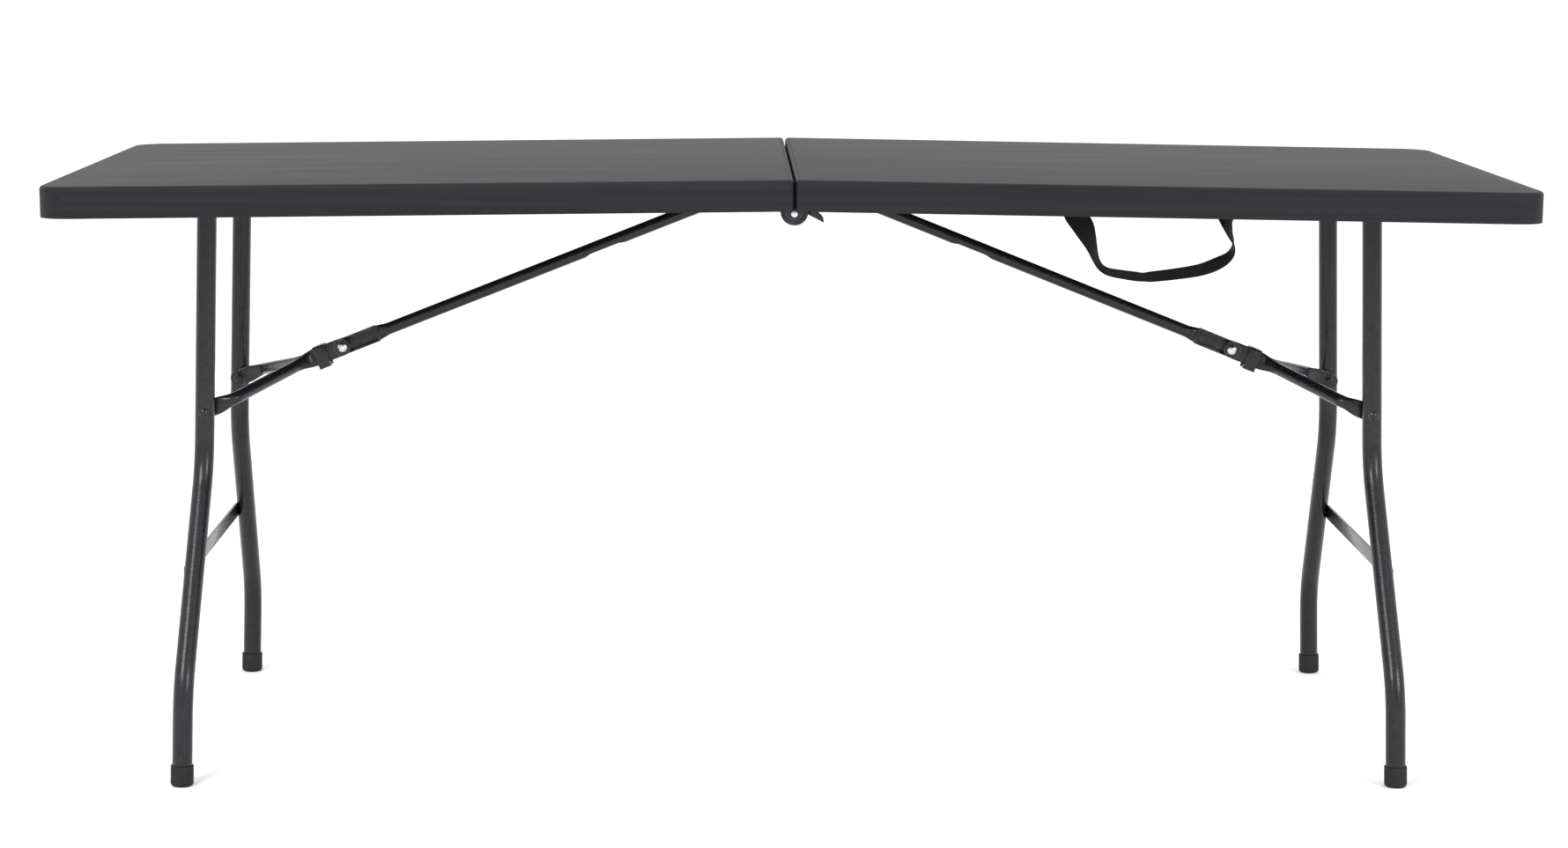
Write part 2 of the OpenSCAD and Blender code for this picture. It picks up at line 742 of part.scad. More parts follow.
top(LEFT);  // left_top
rail(LEFT, FRONT);  // left_front_rail
rail(LEFT, REAR);  // left_rear_rail
hinge_ears(LEFT);  // left_hinge_ears
brace_bracket(LEFT);  // left_brace_bracket
brace_pin(LEFT);  // left_brace_pin
screws(LEFT);  // left_screws
leg_pivot(LEFT);  // left_leg_pivot
leg(LEFT, FRONT);  // left_front_leg
leg(LEFT, REAR);  // left_rear_leg
crossbar(LEFT);  // left_crossbar
foot(LEFT, FRONT);  // left_front_foot
foot(LEFT, REAR);  // left_rear_foot
leg_rivets(LEFT);  // left_leg_rivets
brace_arm(LEFT);  // left_brace_arm
brace_rivet(LEFT);  // left_brace_rivet
fork(LEFT, FRONT);  // left_front_fork
fork(LEFT, REAR);  // left_rear_fork
fork_rivets(LEFT);  // left_fork_rivets
lock_ring(LEFT);  // left_lock_ring
top(RIGHT);  // right_top
rail(RIGHT, FRONT);  // right_front_rail
rail(RIGHT, REAR);  // right_rear_rail
hinge_ears(RIGHT);  // right_hinge_ears
brace_bracket(RIGHT);  // right_brace_bracket
brace_pin(RIGHT);  // right_brace_pin
screws(RIGHT);  // right_screws
leg_pivot(RIGHT);  // right_leg_pivot
leg(RIGHT, FRONT);  // right_front_leg
leg(RIGHT, REAR);  // right_rear_leg
crossbar(RIGHT);  // right_crossbar
foot(RIGHT, FRONT);  // right_front_foot
foot(RIGHT, REAR);  // right_rear_foot
leg_rivets(RIGHT);  // right_leg_rivets
brace_arm(RIGHT);  // right_brace_arm
brace_rivet(RIGHT);  // right_brace_rivet
fork(RIGHT, FRONT);  // right_front_fork
fork(RIGHT, REAR);  // right_rear_fork
fork_rivets(RIGHT);  // right_fork_rivets
lock_ring(RIGHT);  // right_lock_ring
hinge_pin(FRONT);  // front_hinge_pin
hinge_pin(REAR);  // rear_hinge_pin
latch_hook();
latch_pin();
carry_handle();
handle_screws();
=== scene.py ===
"""Fold-in-half utility table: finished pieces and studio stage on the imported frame."""

import json
import math

import bmesh
import bpy
from bpy.props import FloatProperty, FloatVectorProperty, IntProperty, PointerProperty
from mathutils import Matrix, Vector

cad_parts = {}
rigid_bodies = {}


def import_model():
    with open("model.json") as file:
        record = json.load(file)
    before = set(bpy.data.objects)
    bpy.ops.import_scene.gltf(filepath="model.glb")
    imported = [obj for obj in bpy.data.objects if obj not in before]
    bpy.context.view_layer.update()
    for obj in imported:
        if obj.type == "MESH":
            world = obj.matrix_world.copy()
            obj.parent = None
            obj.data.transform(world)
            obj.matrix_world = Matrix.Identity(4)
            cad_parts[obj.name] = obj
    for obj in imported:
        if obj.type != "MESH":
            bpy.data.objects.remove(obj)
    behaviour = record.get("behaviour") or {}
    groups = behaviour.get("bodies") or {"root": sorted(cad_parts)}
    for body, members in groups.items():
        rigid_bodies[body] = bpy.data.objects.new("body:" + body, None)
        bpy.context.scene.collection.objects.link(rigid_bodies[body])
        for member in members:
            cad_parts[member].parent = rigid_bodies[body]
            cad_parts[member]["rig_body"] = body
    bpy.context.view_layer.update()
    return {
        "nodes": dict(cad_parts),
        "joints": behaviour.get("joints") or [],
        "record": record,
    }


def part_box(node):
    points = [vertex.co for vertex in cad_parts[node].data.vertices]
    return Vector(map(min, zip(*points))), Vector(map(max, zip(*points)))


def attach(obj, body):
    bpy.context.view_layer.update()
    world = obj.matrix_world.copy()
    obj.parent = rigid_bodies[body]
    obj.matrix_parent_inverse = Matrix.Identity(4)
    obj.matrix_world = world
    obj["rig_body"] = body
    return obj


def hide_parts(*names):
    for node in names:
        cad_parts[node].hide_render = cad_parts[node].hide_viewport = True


bl_info = {
    "name": "Folding Table Finisher",
    "version": (1, 0, 0),
    "blender": (4, 5, 0),
    "location": "View3D > Sidebar > Folding Table",
    "description": "Finished pieces for a fold-in-half table with a moulded top",
    "category": "Add Mesh",
}

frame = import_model()

MM = 0.001
LEFT, RIGHT = -1, 1
FRONT, REAR = -1, 1
SIDES = ((LEFT, "left"), (RIGHT, "right"))
FACES = ((FRONT, "front"), (REAR, "rear"))

JOINTS = {j["name"]: j for j in frame["joints"]}
MOUNTS = {m["name"]: m for m in frame["record"]["mounts"]}
CROWN = math.atan2(MOUNTS["right_top_face"]["axis"][0], MOUNTS["right_top_face"]["axis"][2])
HINGE = Vector(JOINTS["center_fold"]["pos_m"])
LEG_PIVOT = Vector(JOINTS["right_leg_fold"]["pos_m"])
BRACE_PIVOT = Vector(JOINTS["right_arm_swing"]["pos_m"])
BRACE_KNEE = Vector(JOINTS["right_fork_swing"]["pos_m"])


def middle(node):
    low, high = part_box(node)
    return (low + high) / 2


# ---- sizes and colours a user would change ----


class TableTopSizes(bpy.types.PropertyGroup):
    thickness: FloatProperty(name="Thickness", description="Skirt's lower edge to the top surface",
                             default=38.5 * MM, unit="LENGTH")
    deck: FloatProperty(name="Deck", description="Thickness of the deck above the recess",
                        default=11 * MM, unit="LENGTH")
    skirt: FloatProperty(name="Skirt", description="Width of the skirt on three sides",
                         default=21.5 * MM, unit="LENGTH")
    seam_skirt: FloatProperty(name="Seam skirt", description="Width of the skirt along the seam",
                              default=10.5 * MM, unit="LENGTH")
    seam_gap: FloatProperty(name="Seam gap", description="Gap between the halves",
                            default=1.2 * MM, unit="LENGTH")
    corner: FloatProperty(name="Corner radius", description="Outer corners seen from above",
                          default=40 * MM, unit="LENGTH")
    edge: FloatProperty(name="Edge radius", description="Rounding along the upper edges",
                        default=5 * MM, unit="LENGTH")
    hinge_drop: FloatProperty(name="Hinge drop", description="Hinge axis below the skirt",
                              default=5 * MM, unit="LENGTH")
    dimple_columns: IntProperty(name="Dimple columns", description="Along the table", default=8)
    dimple_rows: IntProperty(name="Dimple rows", description="Across each half of the width",
                             default=3)
    dimple_mouth: FloatProperty(name="Dimple mouth", description="Radius of a dimple at the deck",
                                default=15 * MM, unit="LENGTH")
    dimple_tip: FloatProperty(name="Dimple tip", description="Radius of a dimple at its end",
                              default=8 * MM, unit="LENGTH")


class FrameSizes(bpy.types.PropertyGroup):
    leg_radius: FloatProperty(name="Leg radius", description="Outside of the leg tube",
                              default=12.5 * MM, unit="LENGTH")
    bend_angle: FloatProperty(name="Bend angle", description="Angle of the two bends in a leg",
                              default=math.radians(32), subtype="ANGLE")
    bend_radius: FloatProperty(name="Bend radius", description="Radius of the bends",
                               default=120 * MM, unit="LENGTH")
    lower_straight: FloatProperty(name="Lower straight", description="Straight stretch above the floor",
                                  default=85 * MM, unit="LENGTH")
    brace_radius: FloatProperty(name="Brace radius", description="Outside of the brace tubes",
                                default=8 * MM, unit="LENGTH")
    flat_width: FloatProperty(name="Flat width", description="Width of the flattened ends",
                              default=22 * MM, unit="LENGTH")
    flat_thickness: FloatProperty(name="Flat thickness", description="Thickness of the fork's flat ends",
                                  default=2.5 * MM, unit="LENGTH")
    eye_radius: FloatProperty(name="Eye radius", description="Inner end of the brace",
                              default=9.5 * MM, unit="LENGTH")
    dent_share: FloatProperty(name="Dent place",
                              description="Share of the way from brace pivot to leg pivot",
                              default=0.3281)
    dent_depth: FloatProperty(name="Dent depth", description="Pressed into the underside of the arm",
                              default=2.5 * MM, unit="LENGTH")
    ring_length: FloatProperty(name="Ring length", description="Along the brace",
                               default=16.5 * MM, unit="LENGTH")
    ring_wall: FloatProperty(name="Ring wall", description="Thickness of the sliding ring",
                             default=2 * MM, unit="LENGTH")


class HandleSizes(bpy.types.PropertyGroup):
    width: FloatProperty(name="Width", description="Width of the webbing", default=27 * MM, unit="LENGTH")
    thickness: FloatProperty(name="Thickness", description="Thickness of the webbing",
                             default=2.0 * MM, unit="LENGTH")


class FinishColours(bpy.types.PropertyGroup):
    plastic: FloatVectorProperty(name="Plastic", description="Moulded halves", subtype="COLOR",
                                 size=3, default=(0.0095, 0.0098, 0.0120))
    steel: FloatVectorProperty(name="Steel", description="Painted frames", subtype="COLOR",
                               size=3, default=(0.0082, 0.0086, 0.0106))
    zinc: FloatVectorProperty(name="Zinc", description="Plated rivets and screws", subtype="COLOR",
                              size=3, default=(0.62, 0.63, 0.65))
    rubber: FloatVectorProperty(name="Rubber", description="Feet", subtype="COLOR",
                                size=3, default=(0.0110, 0.0110, 0.0116))
    webbing: FloatVectorProperty(name="Webbing", description="Carry handle", subtype="COLOR",
                                 size=3, default=(0.0040, 0.0040, 0.0044))


class StageSettings(bpy.types.PropertyGroup):
    place: FloatVectorProperty(name="Camera place", description="Where the camera stands",
                               size=3, default=(-0.0884, -4.5553, 1.0993), subtype="XYZ")
    heading: FloatProperty(name="Heading", description="Turn of the view to the right of +Y",
                           default=0.01822, subtype="ANGLE")
    pitch: FloatProperty(name="Pitch", description="Downward tilt of the view",
                         default=0.13006, subtype="ANGLE")
    roll: FloatProperty(name="Roll", description="Turn about the line of sight",
                        default=0.0054, subtype="ANGLE")
    lens: FloatProperty(name="Lens", description="Focal length for a 36 mm sensor", default=79.82)
    rise: FloatProperty(name="Shift", description="Vertical lens shift", default=-0.0458)
    floor: FloatVectorProperty(name="Floor", description="Colour of the floor", subtype="COLOR",
                               size=3, default=(0.96, 0.96, 0.96))


# ---- frames of reference ----


def mirrored(side, matrix):
    return Matrix.Scale(-1, 4, (1, 0, 0)) @ matrix if side == LEFT else matrix


def half_frame(side):
    """x out from the seam, y to the back, z up from the skirt's lower edge."""
    drop = bpy.context.scene.table_top.hinge_drop
    return mirrored(side, Matrix.Translation(HINGE) @ Matrix.Rotation(CROWN, 4, "Y")
                    @ Matrix.Translation((0, 0, drop)))


def leg_frame(side):
    """z up the legs, with the pivot at the origin."""
    foot = middle("right_front_foot")
    lean = math.atan2(foot.x - LEG_PIVOT.x, LEG_PIVOT.z - foot.z)
    return mirrored(side, Matrix.Translation(LEG_PIVOT) @ Matrix.Rotation(-lean, 4, "Y"))


def brace_frame(side, origin):
    """x along the brace towards the legs, y to the back."""
    along = BRACE_KNEE - BRACE_PIVOT
    drop = math.atan2(-along.z, along.x)
    return mirrored(side, Matrix.Translation(origin) @ Matrix.Rotation(drop, 4, "Y"))


# ---- modelling helpers ----


def start_clean():
    if bpy.context.object and bpy.context.object.mode != "OBJECT":
        bpy.ops.object.mode_set(mode="OBJECT")
    bpy.ops.object.select_all(action="DESELECT")


def pick(obj):
    start_clean()
    obj.select_set(True)
    bpy.context.view_layer.objects.active = obj
    return obj


def edit(obj, kind="EDGE"):
    pick(obj)
    bpy.ops.object.mode_set(mode="EDIT")
    bpy.ops.mesh.select_mode(type=kind)
    bpy.ops.mesh.select_all(action="DESELECT")
    return bmesh.from_edit_mesh(obj.data)


def select(mesh, parts, test):
    for part in parts:
        part.select_set(test(part))
    mesh.select_flush_mode()


def done(obj):
    bmesh.update_edit_mesh(obj.data)
    bpy.ops.object.mode_set(mode="OBJECT")
    return obj


def apply_modifiers(obj):
    pick(obj)
    for modifier in list(obj.modifiers):
        bpy.ops.object.modifier_apply(modifier=modifier.name)
    return obj


def soften(obj, width, angle=30, segments=2):
    """A small round on every sharp edge."""
    bevel = obj.modifiers.new("Softened edges", "BEVEL")
    bevel.width, bevel.segments = width, segments
    bevel.limit_method, bevel.angle_limit = "ANGLE", math.radians(angle)
    bevel.harden_normals = False
    return apply_modifiers(obj)


def join(objects, name):
    pick(objects[0])
    for other in objects[1:]:
        other.select_set(True)
    bpy.ops.object.join()
    objects[0].name = name
    return objects[0]


def block(name, low, high):
    start_clean()
    low, high = Vector(low), Vector(high)
    bpy.ops.mesh.primitive_cube_add(size=1, location=(low + high) / 2)
    obj = bpy.context.object
    obj.name, obj.scale = name, high - low
    bpy.ops.object.transform_apply(location=True, rotation=True, scale=True)
    return obj


def side_block(name, side, low, high):
    """A block whose y places are given for the rear and mirrored for the front."""
    y0, y1 = sorted((side * low[1], side * high[1]))
    return block(name, (low[0], y0, low[2]), (high[0], y1, high[2]))


def disc(name, centre, radius, y0, y1, segments=48):
    """A cylinder along y, from y0 to y1."""
    start_clean()
    bpy.ops.mesh.primitive_cylinder_add(vertices=segments, radius=radius, depth=abs(y1 - y0),
                                        location=(centre[0], (y0 + y1) / 2, centre[1]),
                                        rotation=(math.pi / 2, 0, 0))
    obj = bpy.context.object
    obj.name = name
    bpy.ops.object.transform_apply(location=True, rotation=True, scale=True)
    return obj


def arc(centre, radius, start, end, steps):
    """Points on an arc in the plane of y and z."""
    turns = [start + (end - start) * i / steps for i in range(steps + 1)]
    return [centre + radius * Vector((0, math.cos(t), math.sin(t))) for t in turns]


def tube(name, points, radius, segments=4):
    """A round tube along points, with closed ends. segments is for each quarter turn."""
    start_clean()
    curve = bpy.data.curves.new(name, "CURVE")
    curve.dimensions, curve.twist_mode = "3D", "MINIMUM"
    curve.bevel_depth, curve.bevel_resolution, curve.use_fill_caps = radius, segments * 2, True
    spline = curve.splines.new("POLY")
    spline.points.add(len(points) - 1)
    for target, point in zip(spline.points, points):
        target.co = (*point, 1)
    obj = bpy.data.objects.new(name, curve)
    bpy.context.collection.objects.link(obj)
    pick(obj)
    bpy.ops.object.convert(target="MESH")
    return bpy.context.object


def rounded_path(corners, radius, steps=8):
    """Straight stretches through corners, joined by arcs of one radius."""
    path = [Vector(corners[0])]
    for before, corner, after in zip(corners, corners[1:], corners[2:]):
        before, corner, after = Vector(before), Vector(corner), Vector(after)
        back, ahead = (before - corner).normalized(), (after - corner).normalized()
        half = back.angle(ahead) / 2
        reach = radius / math.tan(half)
        centre = corner + (back + ahead).normalized() * radius / math.sin(half)
        first, last = corner + back * reach - centre, corner + ahead * reach - centre
        for i in range(steps + 1):
            turned = first.normalized().slerp(last.normalized(), i / steps)
            path.append(centre + turned * first.length)
    return path + [Vector(corners[-1])]


def smooth_step(x):
    x = max(0.0, min(1.0, x))
    return x * x * (3 - 2 * x)


def flatten(obj, centre_y, x_flat, x_round, thin, wide):
    """Presses a round tube flat: full at x_flat and not at all at x_round."""
    for vertex in obj.data.vertices:
        share = smooth_step((vertex.co.x - x_round) / (x_flat - x_round))
        if share <= 0:
            continue
        vertex.co.y = centre_y + (vertex.co.y - centre_y) * (1 + (thin - 1) * share)
        vertex.co.z *= 1 + (wide - 1) * share
    return obj


def clean(obj):
    mesh = edit(obj, "VERT")
    bpy.ops.mesh.select_all(action="SELECT")
    bpy.ops.mesh.remove_doubles(threshold=1e-6)
    bpy.ops.mesh.normals_make_consistent(inside=False)
    return done(obj)


def place(obj, matrix, body, slot, nodes=(), angle=35):
    """Sets a finished piece in the row frame, on its body and with its finish."""
    pick(obj)
    obj.matrix_world = matrix @ obj.matrix_world
    bpy.ops.object.transform_apply(location=True, rotation=True, scale=True)
    if matrix.determinant() < 0:
        clean(obj)
    pick(obj)
    bpy.ops.object.shade_smooth_by_angle(angle=math.radians(angle))
    obj.data.materials.clear()
    obj.data.materials.append(bpy.data.materials[FINISHES[slot]])
    if nodes:
        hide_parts(*nodes)
    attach(obj, body)
    return obj


def refined(node, name, width, slot, angle=30):
    """A softened, smooth copy of a plain node, which then stands for it."""
    source = frame["nodes"][node]
    obj = bpy.data.objects.new(name, source.data.copy())
    bpy.context.collection.objects.link(obj)
    edit(obj, "VERT")
    bpy.ops.mesh.select_all(action="SELECT")
    bpy.ops.mesh.remove_doubles(threshold=2e-6)
    bpy.ops.mesh.dissolve_limited(angle_limit=math.radians(0.6))
    done(obj)
    soften(obj, width, angle)
    return place(obj, Matrix.Identity(4), source["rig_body"], slot, [node])


# ---- finishes ----

FINISHES = {
    "moulded_plastic": "Moulded polyethylene",
    "painted_steel": "Hammered powder coat",
    "zinc": "Zinc plate",
    "rubber": "Moulded rubber",
    "webbing": "Nylon webbing",
}


def feed(tree, value, socket):
    """Links an output to the socket, or sets the socket's own value."""
    if isinstance(value, bpy.types.NodeSocket):
        tree.links.new(value, socket)
    else:
        socket.default_value = value


class Nodes:
    """A short way to lay out a node tree."""

    def __init__(self, tree):
        self.tree = tree

    def add(self, kind, settings=None, **inputs):
        node = self.tree.nodes.new(kind)
        for key, value in (settings or {}).items():
            setattr(node, key, value)
        for key, value in inputs.items():
            by_place = key[0] == "_" and key[1:].isdigit()
            feed(self.tree, value, node.inputs[int(key[1:]) if by_place else key.replace("_", " ")])
        return node

    def maths(self, operation, first, second=0.0):
        return self.add("ShaderNodeMath", {"operation": operation}, _0=first, _1=second).outputs[0]

    def ramp(self, value, low, high, start=0.0, end=1.0):
        return self.add("ShaderNodeMapRange", {"interpolation_type": "SMOOTHSTEP"}, Value=value,
                        From_Min=low, From_Max=high, To_Min=start, To_Max=end).outputs[0]

    def noise(self, vector, scale, detail=3.0, roughness=0.5):
        return self.add("ShaderNodeTexNoise", Vector=vector, Scale=scale, Detail=detail,
                        Roughness=roughness).outputs[0]

    def mix(self, factor, first, second):
        node = self.add("ShaderNodeMix", {"data_type": "RGBA"})
        for place_at, value in ((0, factor), (6, first), (7, second)):
            feed(self.tree, value, node.inputs[place_at])
        return node.outputs[2]


def new_group(name, inputs, outputs):
    tree = bpy.data.node_groups.new(name, "ShaderNodeTree")
    for label, kind, default in inputs:
        socket = tree.interface.new_socket(name=label, in_out="INPUT", socket_type=kind)
        if default is not None:
            socket.default_value = default
    for label, kind in outputs:
        tree.interface.new_socket(name=label, in_out="OUTPUT", socket_type=kind)
    nodes = Nodes(tree)
    return nodes, nodes.add("NodeGroupInput"), nodes.add("NodeGroupOutput")


def build_worn_highlit_edges():
    """Mask of worn edges and painted edge highlights: where a rounded normal leaves the true one, broken
    up by noise.
    """
    n, given, out = new_group("Worn and highlit edges", [("Vector", "NodeSocketVector", None),
                                             ("Reach", "NodeSocketFloat", 0.0015),
                                             ("Breakup", "NodeSocketFloat", 160.0)],
                              [("Mask", "NodeSocketFloat")])
    rounded = n.add("ShaderNodeBevel", {"samples": 4}, Radius=given.outputs["Reach"])
    true = n.add("ShaderNodeNewGeometry")
    dot = n.add("ShaderNodeVectorMath", {"operation": "DOT_PRODUCT"},
                _0=rounded.outputs[0], _1=true.outputs["True Normal"]).outputs["Value"]
    edge = n.ramp(dot, 0.985, 0.90)
    patchy = n.ramp(n.noise(given.outputs["Vector"], given.outputs["Breakup"], 4.0), 0.42, 0.62)
    n.tree.links.new(n.maths("MULTIPLY", edge, patchy), out.inputs["Mask"])


def build_fine_relief():
    """Height of a fine cast or sprayed surface, with a broad unevenness below it."""
    n, given, out = new_group("Fine relief", [("Vector", "NodeSocketVector", None),
                                              ("Fine", "NodeSocketFloat", 900.0),
                                              ("Broad", "NodeSocketFloat", 60.0),
                                              ("Share", "NodeSocketFloat", 0.3)],
                              [("Height", "NodeSocketFloat"), ("Tone", "NodeSocketFloat")])
    fine = n.noise(given.outputs["Vector"], given.outputs["Fine"], 2.0, 0.6)
    broad = n.noise(given.outputs["Vector"], given.outputs["Broad"], 3.0)
    share = given.outputs["Share"]
    n.tree.links.new(n.maths("ADD", fine, n.maths("MULTIPLY", broad, share)), out.inputs["Height"])
    n.tree.links.new(broad, out.inputs["Tone"])


def build_painted_crevice_shade():
    """Mask for painted shade: 1 on open surfaces, falling towards 0 in narrow corners, where shade is
    painted in.
    """
    n, given, out = new_group("Painted crevice shade", [("Reach", "NodeSocketFloat", 0.006)],
                              [("Mask", "NodeSocketFloat")])
    hidden = n.add("ShaderNodeAmbientOcclusion", {"samples": 8}, Distance=given.outputs["Reach"])
    n.tree.links.new(n.ramp(hidden.outputs["AO"], 0.35, 0.95), out.inputs["Mask"])


def build_scuffs():
    """Faint long scratches and dull patches from handling."""
    n, given, out = new_group("Scuffs", [("Vector", "NodeSocketVector", None)],
                              [("Mask", "NodeSocketFloat")])
    stretched = n.add("ShaderNodeMapping", Vector=given.outputs["Vector"],
                      Rotation=(0.0, 0.0, 0.5), Scale=(3.0, 90.0, 30.0)).outputs[0]
    lines = n.ramp(n.noise(stretched, 4.0, 2.0), 0.68, 0.74)
    patches = n.ramp(n.noise(given.outputs["Vector"], 3.5, 3.0), 0.50, 0.72)
    n.tree.links.new(n.maths("MULTIPLY", lines, patches), out.inputs["Mask"])


def place_group(n, name, **inputs):
    node = n.add("ShaderNodeGroup")
    node.node_tree = bpy.data.node_groups[name]
    for key, value in inputs.items():
        feed(n.tree, value, node.inputs[key])
    return node.outputs


def new_material(slot):
    material = bpy.data.materials.new(FINISHES[slot])
    material.use_nodes = True
    n = Nodes(material.node_tree)
    shader = next(node for node in n.tree.nodes if node.type == "BSDF_PRINCIPLED")
    coords = n.add("ShaderNodeTexCoord")
    return n, shader, coords


def lighter(colour, factor):
    return (*[min(1.0, c * factor) for c in colour], 1.0)


def finish_plastic(colour):
    n, shader, coords = new_material("moulded_plastic")
    where = coords.outputs["Object"]
    relief = place_group(n, "Fine relief", Vector=where, Fine=520.0, Broad=26.0, Share=0.25)
    scuffs = place_group(n, "Scuffs", Vector=where)["Mask"]
    worn_highlit = place_group(n, "Worn and highlit edges", Vector=where, Reach=0.0025, Breakup=45.0)["Mask"]
    drawn = n.add("ShaderNodeMapping", Vector=where, Scale=(0.9, 95.0, 95.0)).outputs[0]
    streaks = n.noise(drawn, 2.2, 4.0, 0.6)
    tone = n.ramp(relief["Tone"], 0.3, 0.7)
    base = n.mix(tone, lighter(colour, 0.94), lighter(colour, 1.06))
    base = n.mix(n.maths("MULTIPLY", n.ramp(streaks, 0.40, 0.64), 0.55), base, lighter(colour, 1.7))
    base = n.mix(n.maths("MULTIPLY", scuffs, 0.30), base, lighter(colour, 2.6))
    # Edges lightened: partly wear, partly a painted edge highlight.
    base = n.mix(n.maths("MULTIPLY", worn_highlit, 0.35), base, lighter(colour, 3.2))
    n.tree.links.new(base, shader.inputs["Base Color"])
    rough = n.maths("ADD", n.ramp(streaks, 0.3, 0.7, 0.50, 0.60), n.maths("MULTIPLY", scuffs, -0.08))
    n.tree.links.new(rough, shader.inputs["Roughness"])
    height = n.maths("ADD", relief["Height"], n.maths("MULTIPLY", streaks, 0.35))
    bump = n.add("ShaderNodeBump", Strength=0.30, Distance=0.0004, Height=height)
    n.tree.links.new(bump.outputs[0], shader.inputs["Normal"])
    shader.inputs["Specular IOR Level"].default_value = 0.14


def finish_steel(colour):
    n, shader, coords = new_material("painted_steel")
    where = coords.outputs["Object"]
    cells = n.add("ShaderNodeTexVoronoi", {"feature": "SMOOTH_F1"}, Vector=where, Scale=420.0,
                  Smoothness=0.6).outputs["Distance"]
    relief = place_group(n, "Fine relief", Vector=where, Fine=700.0, Broad=120.0, Share=0.6)
    worn_highlit = place_group(n, "Worn and highlit edges", Vector=where, Reach=0.0012, Breakup=90.0)["Mask"]
    flecks = n.ramp(n.noise(where, 520.0, 1.5), 0.57, 0.68)
    base = n.mix(n.ramp(relief["Tone"], 0.35, 0.65), lighter(colour, 0.85), lighter(colour, 1.25))
    base = n.mix(n.maths("MULTIPLY", flecks, 0.5), base, lighter(colour, 3.0))
    # Edges lightened to pale grey: partly wear, partly a painted highlight along the rims.
    base = n.mix(n.maths("MULTIPLY", worn_highlit, 0.75), base, (0.22, 0.22, 0.23, 1.0))
    # Painted shade: the colour darkens to a quarter of itself in narrow corners and crevices, and
    # specular is lowered there too.
    painted_shade_mask = place_group(n, "Painted crevice shade", Reach=0.007)["Mask"]
    base = n.mix(painted_shade_mask, lighter(colour, 0.25), base)
    n.tree.links.new(base, shader.inputs["Base Color"])
    shine = n.maths("MULTIPLY", n.maths("ADD", n.maths("MULTIPLY", painted_shade_mask, 0.8), 0.2), 0.25)
    n.tree.links.new(shine, shader.inputs["Specular IOR Level"])
    n.tree.links.new(n.ramp(cells, 0.1, 0.6, 0.15, 0.28), shader.inputs["Roughness"])
    height = n.maths("ADD", n.maths("MULTIPLY", cells, 0.8), relief["Height"])
    bump = n.add("ShaderNodeBump", Strength=0.22, Distance=0.0005, Height=height)
    n.tree.links.new(bump.outputs[0], shader.inputs["Normal"])
    shader.inputs["Coat Weight"].default_value = 0.12
    shader.inputs["Coat Roughness"].default_value = 0.12


def finish_zinc(colour):
    n, shader, coords = new_material("zinc")
    where = coords.outputs["Object"]
    relief = place_group(n, "Fine relief", Vector=where, Fine=1500.0, Broad=250.0, Share=0.5)
    base = n.mix(n.ramp(relief["Tone"], 0.35, 0.65), lighter(colour, 0.8), lighter(colour, 1.08))
    n.tree.links.new(base, shader.inputs["Base Color"])
    n.tree.links.new(n.ramp(relief["Tone"], 0.3, 0.7, 0.24, 0.38), shader.inputs["Roughness"])
    bump = n.add("ShaderNodeBump", Strength=0.2, Distance=0.0002, Height=relief["Height"])
    n.tree.links.new(bump.outputs[0], shader.inputs["Normal"])
    shader.inputs["Metallic"].default_value = 1.0


def finish_rubber(colour):
    n, shader, coords = new_material("rubber")
    where = coords.outputs["Object"]
    relief = place_group(n, "Fine relief", Vector=where, Fine=1100.0, Broad=90.0, Share=0.4)
    dust = n.ramp(n.noise(where, 110.0, 4.0), 0.52, 0.75)
    base = n.mix(n.maths("MULTIPLY", dust, 0.35), lighter(colour, 1.0), lighter(colour, 2.4))
    n.tree.links.new(base, shader.inputs["Base Color"])
    n.tree.links.new(n.ramp(relief["Tone"], 0.3, 0.7, 0.62, 0.76), shader.inputs["Roughness"])
    bump = n.add("ShaderNodeBump", Strength=0.3, Distance=0.0003, Height=relief["Height"])
    n.tree.links.new(bump.outputs[0], shader.inputs["Normal"])
    shader.inputs["Specular IOR Level"].default_value = 0.25


def finish_webbing(colour):
    """Ribs across the strap and rows of plain weave along it, on the strap's own map in metres."""
    n, shader, coords = new_material("webbing")
    place_on = n.add("ShaderNodeSeparateXYZ", Vector=coords.outputs["UV"])
    across, along = place_on.outputs[0], place_on.outputs[1]
    rib = n.maths("ABSOLUTE", n.maths("SINE", n.maths("MULTIPLY", along, math.pi / (1.7 * MM))))
    row = n.maths("SINE", n.maths("MULTIPLY", across, math.pi / (1.5 * MM)))
    yarn = n.maths("ABSOLUTE", row)
    weave = n.maths("MULTIPLY", n.maths("POWER", rib, 0.6),
                    n.maths("ADD", n.maths("MULTIPLY", yarn, 0.6), 0.4))
    fuzz = n.noise(coords.outputs["Object"], 1800.0, 2.0)
    base = n.mix(weave, lighter(colour, 0.5), lighter(colour, 1.7))
    base = n.mix(n.maths("MULTIPLY", n.ramp(fuzz, 0.5, 0.7), 0.3), base, lighter(colour, 3.0))
    n.tree.links.new(base, shader.inputs["Base Color"])
    n.tree.links.new(n.ramp(weave, 0.0, 1.0, 0.8, 0.55), shader.inputs["Roughness"])
    bump = n.add("ShaderNodeBump", Strength=0.8, Distance=0.0005,
                 Height=n.maths("ADD", weave, n.maths("MULTIPLY", fuzz, 0.2)))
    n.tree.links.new(bump.outputs[0], shader.inputs["Normal"])
    shader.inputs["Specular IOR Level"].default_value = 0.10
    shader.inputs["Sheen Weight"].default_value = 0.04
    shader.inputs["Sheen Roughness"].default_value = 0.4


